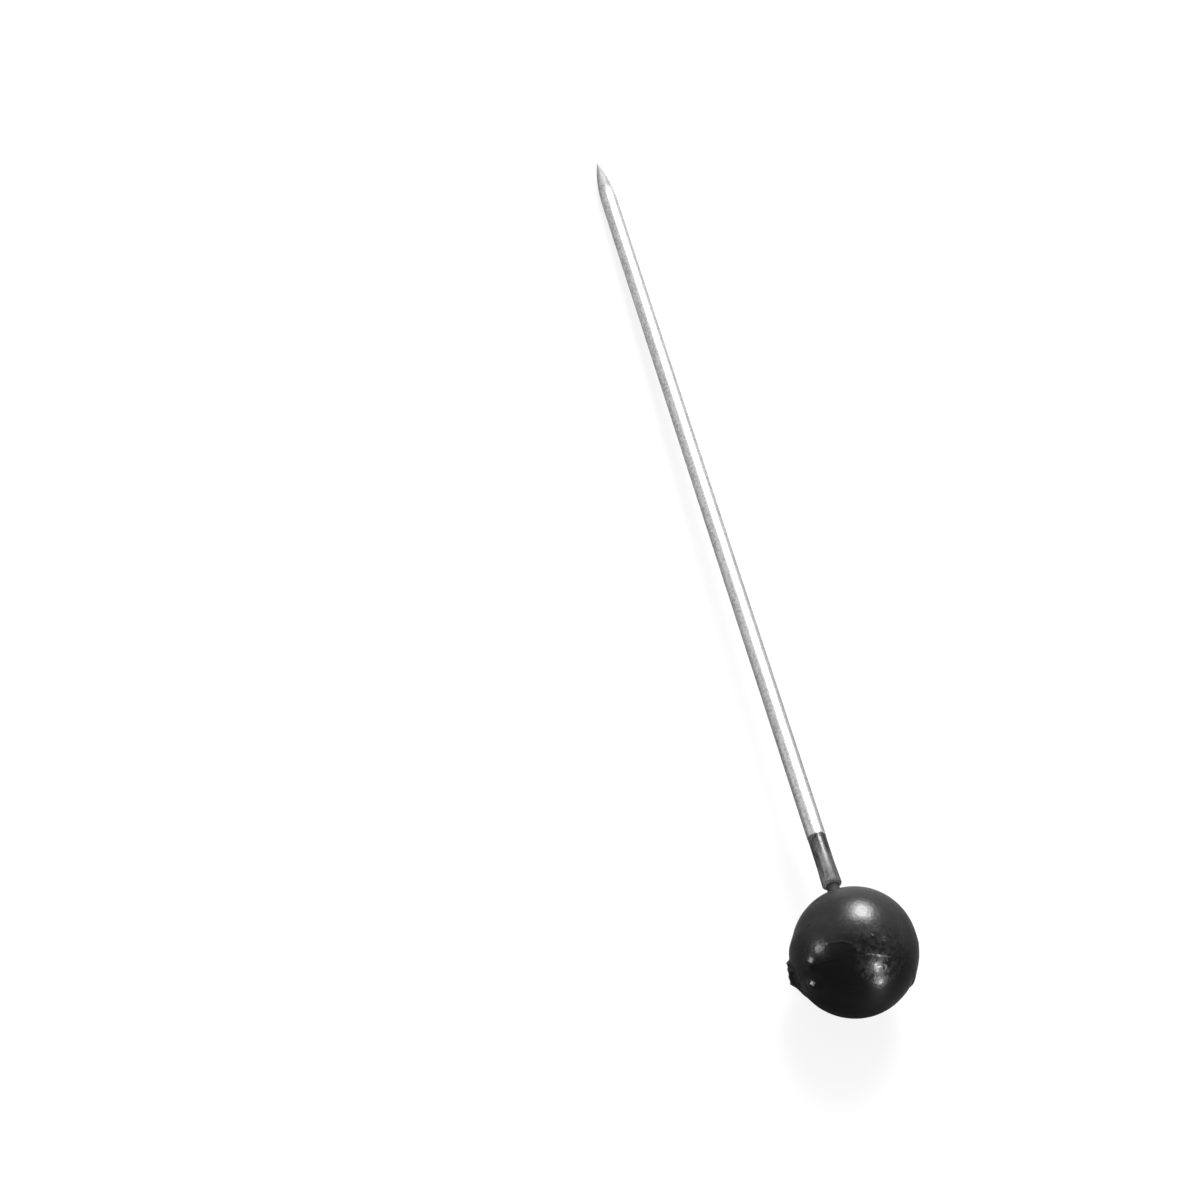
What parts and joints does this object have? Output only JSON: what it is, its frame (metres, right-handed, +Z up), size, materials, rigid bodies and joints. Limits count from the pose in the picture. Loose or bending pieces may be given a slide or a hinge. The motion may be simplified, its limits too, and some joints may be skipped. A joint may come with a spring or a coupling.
{
  "type": "ball-headed straight pin",
  "caption": "Straight sewing pin: drawn steel wire with a ground point and a dark band by its moulded black ball head.",
  "frame": {"origin": "on the surface the pin lies on, below the middle of its length", "axes": "+X from the head to the tip, along the surface; +Z up; +Y to the side of the gate stub"},
  "size_m": [0.038, 0.004, 0.0039],
  "materials": {
    "head_plastic": "semi-gloss black moulded plastic with moulding pimples and a parting band",
    "plated_wire": "bright plated drawn steel, dark stained next to the head, ground point"
  },
  "bodies": {
    "root": {"ball_head": "head_plastic", "pin_wire": "plated_wire"}
  },
  "joints": []
}
